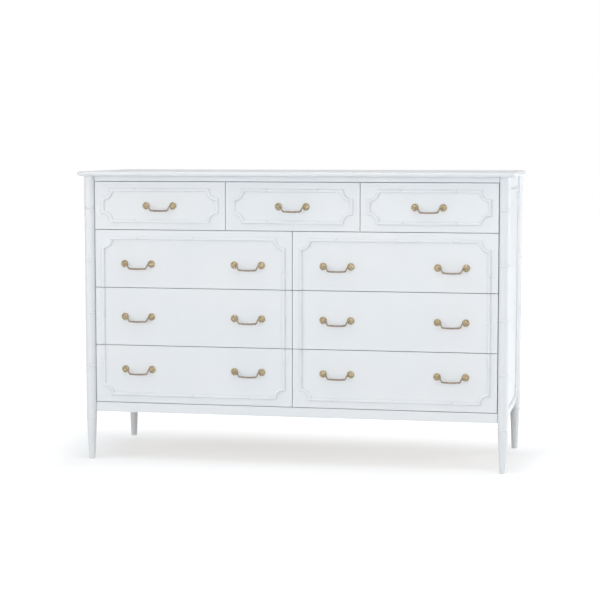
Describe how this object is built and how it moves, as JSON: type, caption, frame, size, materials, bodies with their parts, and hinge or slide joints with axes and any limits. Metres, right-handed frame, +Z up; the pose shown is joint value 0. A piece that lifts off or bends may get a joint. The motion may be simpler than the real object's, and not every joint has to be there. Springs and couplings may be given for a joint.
{
  "type": "dresser",
  "caption": "Long painted dresser with bamboo-turned posts, tapered legs, overlay drawer fronts with scalloped moulding frames, and swinging brass bail pulls.",
  "frame": {"origin": "on the floor, below the middle of the top, at the bottom centre of the bounding box", "axes": "+X to the right as the front is seen and along the length, +Y towards the back, +Z up"},
  "size_m": [1.5328, 0.5713, 1.015],
  "materials": {
    "paint": "satin cool white paint over wood",
    "bare_wood": "bare, lightly sanded wood inside the case",
    "brass": "aged brass, darkened in its hollows"
  },
  "bodies": {
    "case": {"back_panel": "bare_wood", "bottom_board": "bare_wood", "bottom_rail": "paint", "centre_partition": "bare_wood", "divider_left": "bare_wood", "divider_right": "bare_wood", "dust_board_lower_left": "bare_wood", "dust_board_lower_right": "bare_wood", "dust_board_middle_left": "bare_wood", "dust_board_middle_right": "bare_wood", "dust_board_upper": "bare_wood", "post_back_left": "paint", "post_back_right": "paint", "post_front_left": "paint", "post_front_right": "paint", "side_left": "paint", "side_moulding_left": "paint", "side_moulding_right": "paint", "side_right": "paint", "top": "paint", "top_rail": "paint"},
    "drawer_top_left": {"drawer_top_left_front": "paint", "drawer_top_left_box": "bare_wood"},
    "drawer_top_left_bail": {"drawer_top_left_bail": "brass"},
    "drawer_top_centre": {"drawer_top_centre_front": "paint", "drawer_top_centre_box": "bare_wood"},
    "drawer_top_centre_bail": {"drawer_top_centre_bail": "brass"},
    "drawer_top_right": {"drawer_top_right_front": "paint", "drawer_top_right_box": "bare_wood"},
    "drawer_top_right_bail": {"drawer_top_right_bail": "brass"},
    "drawer_upper_left": {"drawer_upper_left_front": "paint", "drawer_upper_left_box": "bare_wood"},
    "drawer_upper_left_bail_left": {"drawer_upper_left_bail_left": "brass"},
    "drawer_upper_left_bail_right": {"drawer_upper_left_bail_right": "brass"},
    "drawer_upper_right": {"drawer_upper_right_front": "paint", "drawer_upper_right_box": "bare_wood"},
    "drawer_upper_right_bail_left": {"drawer_upper_right_bail_left": "brass"},
    "drawer_upper_right_bail_right": {"drawer_upper_right_bail_right": "brass"},
    "drawer_middle_left": {"drawer_middle_left_front": "paint", "drawer_middle_left_box": "bare_wood"},
    "drawer_middle_left_bail_left": {"drawer_middle_left_bail_left": "brass"},
    "drawer_middle_left_bail_right": {"drawer_middle_left_bail_right": "brass"},
    "drawer_middle_right": {"drawer_middle_right_front": "paint", "drawer_middle_right_box": "bare_wood"},
    "drawer_middle_right_bail_left": {"drawer_middle_right_bail_left": "brass"},
    "drawer_middle_right_bail_right": {"drawer_middle_right_bail_right": "brass"},
    "drawer_lower_left": {"drawer_lower_left_front": "paint", "drawer_lower_left_box": "bare_wood"},
    "drawer_lower_left_bail_left": {"drawer_lower_left_bail_left": "brass"},
    "drawer_lower_left_bail_right": {"drawer_lower_left_bail_right": "brass"},
    "drawer_lower_right": {"drawer_lower_right_front": "paint", "drawer_lower_right_box": "bare_wood"},
    "drawer_lower_right_bail_left": {"drawer_lower_right_bail_left": "brass"},
    "drawer_lower_right_bail_right": {"drawer_lower_right_bail_right": "brass"}
  },
  "joints": [
    {"name": "drawer_top_left_slide", "type": "slide", "parent": "case", "child": "drawer_top_left", "axis": [0, -1, 0], "range_m": [0, 0.36]},
    {"name": "drawer_top_left_bail_swing", "type": "hinge", "parent": "drawer_top_left", "child": "drawer_top_left_bail", "pos_m": [-0.47, -0.26165, 0.8965], "axis": [-1, 0, 0], "range_deg": [-30, 210]},
    {"name": "drawer_top_centre_slide", "type": "slide", "parent": "case", "child": "drawer_top_centre", "axis": [0, -1, 0], "range_m": [0, 0.36]},
    {"name": "drawer_top_centre_bail_swing", "type": "hinge", "parent": "drawer_top_centre", "child": "drawer_top_centre_bail", "pos_m": [0, -0.26165, 0.8965], "axis": [-1, 0, 0], "range_deg": [-30, 210]},
    {"name": "drawer_top_right_slide", "type": "slide", "parent": "case", "child": "drawer_top_right", "axis": [0, -1, 0], "range_m": [0, 0.36]},
    {"name": "drawer_top_right_bail_swing", "type": "hinge", "parent": "drawer_top_right", "child": "drawer_top_right_bail", "pos_m": [0.47, -0.26165, 0.8965], "axis": [-1, 0, 0], "range_deg": [-30, 210]},
    {"name": "drawer_upper_left_slide", "type": "slide", "parent": "case", "child": "drawer_upper_left", "axis": [0, -1, 0], "range_m": [0, 0.36]},
    {"name": "drawer_upper_left_bail_left_swing", "type": "hinge", "parent": "drawer_upper_left", "child": "drawer_upper_left_bail_left", "pos_m": [-0.549, -0.26165, 0.69375], "axis": [-1, 0, 0], "range_deg": [-30, 210]},
    {"name": "drawer_upper_left_bail_right_swing", "type": "hinge", "parent": "drawer_upper_left", "child": "drawer_upper_left_bail_right", "pos_m": [-0.156, -0.26165, 0.69375], "axis": [-1, 0, 0], "range_deg": [-30, 210]},
    {"name": "drawer_upper_right_slide", "type": "slide", "parent": "case", "child": "drawer_upper_right", "axis": [0, -1, 0], "range_m": [0, 0.36]},
    {"name": "drawer_upper_right_bail_left_swing", "type": "hinge", "parent": "drawer_upper_right", "child": "drawer_upper_right_bail_left", "pos_m": [0.156, -0.26165, 0.69375], "axis": [-1, 0, 0], "range_deg": [-30, 210]},
    {"name": "drawer_upper_right_bail_right_swing", "type": "hinge", "parent": "drawer_upper_right", "child": "drawer_upper_right_bail_right", "pos_m": [0.549, -0.26165, 0.69375], "axis": [-1, 0, 0], "range_deg": [-30, 210]},
    {"name": "drawer_middle_left_slide", "type": "slide", "parent": "case", "child": "drawer_middle_left", "axis": [0, -1, 0], "range_m": [0, 0.36]},
    {"name": "drawer_middle_left_bail_left_swing", "type": "hinge", "parent": "drawer_middle_left", "child": "drawer_middle_left_bail_left", "pos_m": [-0.549, -0.26165, 0.50875], "axis": [-1, 0, 0], "range_deg": [-30, 210]},
    {"name": "drawer_middle_left_bail_right_swing", "type": "hinge", "parent": "drawer_middle_left", "child": "drawer_middle_left_bail_right", "pos_m": [-0.156, -0.26165, 0.50875], "axis": [-1, 0, 0], "range_deg": [-30, 210]},
    {"name": "drawer_middle_right_slide", "type": "slide", "parent": "case", "child": "drawer_middle_right", "axis": [0, -1, 0], "range_m": [0, 0.36]},
    {"name": "drawer_middle_right_bail_left_swing", "type": "hinge", "parent": "drawer_middle_right", "child": "drawer_middle_right_bail_left", "pos_m": [0.156, -0.26165, 0.50875], "axis": [-1, 0, 0], "range_deg": [-30, 210]},
    {"name": "drawer_middle_right_bail_right_swing", "type": "hinge", "parent": "drawer_middle_right", "child": "drawer_middle_right_bail_right", "pos_m": [0.549, -0.26165, 0.50875], "axis": [-1, 0, 0], "range_deg": [-30, 210]},
    {"name": "drawer_lower_left_slide", "type": "slide", "parent": "case", "child": "drawer_lower_left", "axis": [0, -1, 0], "range_m": [0, 0.36]},
    {"name": "drawer_lower_left_bail_left_swing", "type": "hinge", "parent": "drawer_lower_left", "child": "drawer_lower_left_bail_left", "pos_m": [-0.549, -0.26165, 0.32375], "axis": [-1, 0, 0], "range_deg": [-30, 210]},
    {"name": "drawer_lower_left_bail_right_swing", "type": "hinge", "parent": "drawer_lower_left", "child": "drawer_lower_left_bail_right", "pos_m": [-0.156, -0.26165, 0.32375], "axis": [-1, 0, 0], "range_deg": [-30, 210]},
    {"name": "drawer_lower_right_slide", "type": "slide", "parent": "case", "child": "drawer_lower_right", "axis": [0, -1, 0], "range_m": [0, 0.36]},
    {"name": "drawer_lower_right_bail_left_swing", "type": "hinge", "parent": "drawer_lower_right", "child": "drawer_lower_right_bail_left", "pos_m": [0.156, -0.26165, 0.32375], "axis": [-1, 0, 0], "range_deg": [-30, 210]},
    {"name": "drawer_lower_right_bail_right_swing", "type": "hinge", "parent": "drawer_lower_right", "child": "drawer_lower_right_bail_right", "pos_m": [0.549, -0.26165, 0.32375], "axis": [-1, 0, 0], "range_deg": [-30, 210]}
  ]
}
